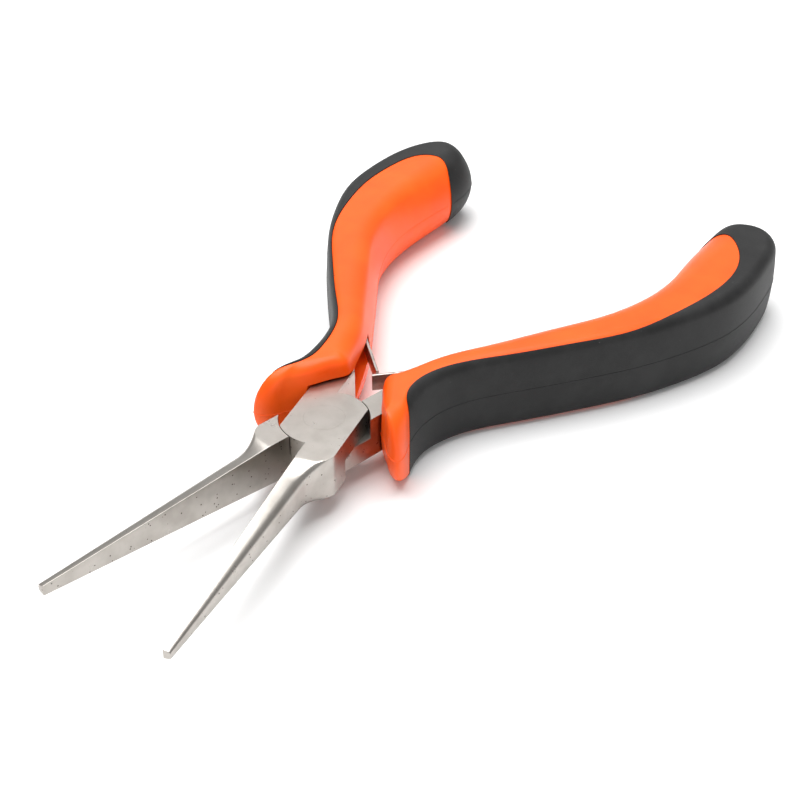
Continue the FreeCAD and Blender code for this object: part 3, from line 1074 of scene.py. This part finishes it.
    def notch_room(self) -> bpy.types.Object:
        """V-shaped opening in the inner wall, from the mouth to the spring."""
        level = self.half.over * self.blade_level
        half = self.blade_half_height
        back = self.pin_place()[1] + self.notch_back
        front, high = self.notch_front
        side = [(front, -high), (front, high), (back, level + half), (back, level - half)]
        rings = [np.array([(x, y, z) for y, z in side]) for x in self.notch_sides]
        return make_solid("notch", loft(rings))

    def spring_room(self) -> bpy.types.Object:
        """Fan-shaped slot that the spring swings in."""
        pin = self.pin_place()
        fan = [pin + (self.slot_back, -self.slot_back)]
        for angle, side in zip(self.swing, (-self.slot_side, self.slot_side)):
            turn = math.radians(angle)
            across = np.array([-math.sin(turn), math.cos(turn)]) * side
            reach = np.array([math.cos(turn), math.sin(turn)]) * self.slot_reach
            pair = [pin + across, pin + reach + across]
            fan += pair if side < 0 else pair[::-1]
        middle = self.half.over * self.blade_level
        high = self.blade_half_height + self.slot_room
        return make_solid("slot", slab(np.array(fan), middle - high, middle + high))

    def parting_paths(self) -> tuple[np.ndarray, np.ndarray, np.ndarray]:
        """Lines at mid-height where the moulds met.

        Returns:
            The collar's line, the cover's line and the inner wall's line, one row per point.
        """
        depth = self.bead * self.bead_depth
        skin = self.outline(0.0, depth)
        sunk = self.outline(0.0, depth + self.proud)
        knots = chord_knots(skin, True)
        at = np.arange(knots[2], knots[-1] - self.line_gap, self.bead_step)
        on_cover, on_core = spline(skin, knots, at, True), spline(sunk, knots, at, True)
        covered = np.flatnonzero(self.is_covered(on_cover))
        first, last = covered[0], covered[-1]
        return on_core[: first - 1], on_cover[first + 1 : last - 1], on_core[last + 3 :]

    def dress(self, piece: bpy.types.Object, paint: bpy.types.Material, slot: str) -> None:
        """Place a piece, paint it and put it on its half.

        Args:
            piece: the object.
            paint: its material.
            slot: not used.
        """
        put_in_frame(piece, self.half.place)
        piece.data.materials.clear()
        piece.data.materials.append(paint)
        self.half.ride(piece, slot)

    def build(
        self, finishes: Finishes, shell_bead: Sweep, cover_bead: Sweep
    ) -> list[bpy.types.Object]:
        """Make the core, the cover and their parting lines.

        Args:
            finishes: the materials.
            shell_bead: the sweep for the lines on the core.
            cover_bead: the sweep for the line on the cover.

        Returns:
            The core, the cover and the lines.
        """
        side = self.half.side
        core = self.block(f"{side}_grip_shell", self.proud)
        cover = self.block(f"{side}_grip_soft_cover", 0.0)
        combine(cover, self.outside(-self.seam), Join.KEEP)
        rooms = (self.mouth_room, self.notch_room, self.spring_room)
        for tool in (self.outside(self.seam), *(room() for room in rooms)):
            combine(core, tool, Join.CUT)
        nose, outer, inner = self.parting_paths()
        cover_line = cover_bead.along(f"{side}_cover_parting_line", outer, self.bead)
        shell_line = shell_bead.along(f"{side}_shell_parting_line", inner, self.bead)
        nose_line = shell_bead.along(f"{side}_nose_parting_line", nose, self.bead)
        self.dress(core, finishes.shell, "grip_shell")
        self.dress(cover, finishes.cover, "soft_cover")
        self.dress(cover_line, finishes.cover, "soft_cover")
        for line in (shell_line, nose_line):
            self.dress(line, finishes.shell, "grip_shell")
        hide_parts(f"{side}_grip_core")
        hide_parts(f"{side}_grip_cover")
        return [core, cover, cover_line, shell_line, nose_line]


@dataclass
class LeafSpring:
    """Strip spring on edge, rolled round its pin. Sizes in millimetres."""

    grip: Grip
    angle: float = 126.5
    length: float = 14.4
    thickness: float = 0.45
    eye: float = 0.87
    bow: float = 0.25

    def path(self) -> np.ndarray:
        """The strip's middle line, from its rolled eye to its tip."""
        points = [
            (self.eye * math.cos(a), self.eye * math.sin(a))
            for a in np.radians(np.arange(100.0, 441.0, 20.0))
        ]
        start = points[-1]
        for t in np.linspace(0.06, 1.0, 24):
            along = start[0] + (self.length - start[0]) * t
            drop = (1 - t) ** 3 * start[1]
            points.append((along, drop + self.bow * math.sin(math.pi * t)))
        turn = math.radians(self.angle)
        turned_points = np.array(points) @ np.array([
            [math.cos(turn), math.sin(turn)], [-math.sin(turn), math.cos(turn)],
        ])
        pin = self.grip.pin_place()
        level = self.grip.half.over * self.grip.blade_level
        return np.array([(x + pin[0], y + pin[1], level) for x, y in turned_points])

    def build(self, sweep: Sweep) -> bpy.types.Object:
        """Make the strip and put it on its own body.

        Args:
            sweep: the sweep with the strip section.

        Returns:
            The strip.
        """
        half = self.grip.half
        name = f"{half.side}_spring_strip"
        strip = sweep.along(name, self.path(), self.thickness, 2 * self.grip.blade_half_height)
        put_in_frame(strip, half.place)
        half.ride(strip, "spring_steel", f"{half.side}_spring")
        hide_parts(f"{half.side}_leaf_spring")
        return strip


# ---------------------------------------------------------------- the studio


@dataclass
class Studio:
    """White paper, a large soft light overhead, weak ones behind and in front, and the camera."""

    # name, power in watts, size in metres, and place as metres ahead, to the right and up
    lamps: tuple = (
        ("key_light", 19.0, 1.1, (0.22, -0.15, 1.05)),
        ("back_card", 1.2, 1.2, (1.5, 0.0, 0.75)),
        ("front_card", 3.0, 1.0, (-1.3, 0.3, 0.65)),
    )
    world_power: float = 0.44
    reach: float = 3.0
    camera_at: tuple = (-0.11516, 0.15049, 0.14253)
    forward: tuple = (0.4563, -0.6816, -0.5721)
    right: tuple = (-0.8310, -0.5563, 0.0)
    lens: float = 66.18

    def floor(self) -> None:
        """Paper at the height of the tool's lowest point."""
        low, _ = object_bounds()
        corners = [(-1, -1), (1, -1), (1, 1), (-1, 1)]
        data = bpy.data.meshes.new("paper")
        points = [(x * self.reach, y * self.reach, low.z) for x, y in corners]
        data.from_pydata(points, [], [(0, 1, 2, 3)])
        paper = bpy.data.objects.new("paper", data)
        data.materials.append(PaperFloor().make())
        bpy.context.scene.collection.objects.link(paper)
        paper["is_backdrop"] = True

    def lamp(self, name: str, place: Vector, size: float, power: float) -> None:
        """Square soft light that faces the tool.

        Args:
            name: the light's name.
            place: where it stands, in metres.
            size: its side, in metres.
            power: its power, in watts.
        """
        data = bpy.data.lights.new(name, "AREA")
        data.size = size
        data.energy = power
        lamp = bpy.data.objects.new(name, data)
        lamp.location = place
        lamp.rotation_euler = (-place).to_track_quat("-Z", "Y").to_euler()
        bpy.context.scene.collection.objects.link(lamp)

    def build(self) -> None:
        """Set up the floor, the lights, the world and the camera."""
        self.floor()
        forward, right = Vector(self.forward), Vector(self.right)
        ahead = Vector((forward.x, forward.y, 0.0)).normalized()
        up = Vector((0.0, 0.0, 1.0))
        for name, power, size, (far, aside, high) in self.lamps:
            self.lamp(name, ahead * far + right * aside + up * high, size, power)
        world = bpy.data.worlds.new("studio")
        world.use_nodes = True
        world.node_tree.nodes["Background"].inputs["Strength"].default_value = self.world_power
        world.node_tree.nodes["Background"].inputs["Color"].default_value = (1.0, 1.0, 1.0, 1.0)
        scene = bpy.context.scene
        scene.world = world
        scene.view_settings.view_transform = "Standard"
        data = bpy.data.cameras.new("camera")
        data.lens = self.lens
        data.sensor_width = 36.0
        data.clip_start = 0.01
        camera = bpy.data.objects.new("camera", data)
        above = right.cross(forward)
        turn = Matrix((right, above, -forward)).transposed().to_4x4()
        camera.matrix_world = Matrix.Translation(self.camera_at) @ turn
        scene.collection.objects.link(camera)
        scene.camera = camera


def dress_carried(finishes: Finishes) -> None:
    """Give the rivet and the pins their finish."""
    for name in ("pivot_rivet", "upper_spring_pin", "lower_spring_pin"):
        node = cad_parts[name]
        paint = finishes.steel if name == "pivot_rivet" else finishes.strip
        if not node.material_slots:
            node.data.materials.append(paint)
        for slot in node.material_slots:
            slot.material = paint


def report(pieces: Iterable[bpy.types.Object]) -> None:
    """Log each piece and its size."""
    for piece in pieces:
        log.info("%s: %d faces", piece.name, len(piece.data.polygons))


def main() -> None:
    """Build both halves, the springs and the studio."""
    logging.basicConfig(level=logging.INFO, format="%(name)s: %(message)s")
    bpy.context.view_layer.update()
    finishes = Finishes()
    strip = Sweep(Profile.STRIP, finishes.strip)
    shell_bead = Sweep(Profile.BEAD, finishes.shell)
    cover_bead = Sweep(Profile.BEAD, finishes.cover)
    upper, lower = Half("upper", 1), Half("lower", -1)
    lower_grip = Grip(
        lower, nose_shift=(-0.4, -2.1), nose_fill=1.0, end_lean=0.4,
        cover_front=LOWER_COVER_FRONT, cover_end=LOWER_COVER_END,
    )
    for half, grip, blade in (
        (upper, Grip(upper), UPPER_BLADE),
        (lower, lower_grip, LOWER_BLADE),
    ):
        report([Lever(half).build(finishes)])
        report(grip.build(finishes, shell_bead, cover_bead))
        report([LeafSpring(grip, length=blade).build(strip)])
    dress_carried(finishes)
    Studio().build()


if __name__ == "__main__":
    main()
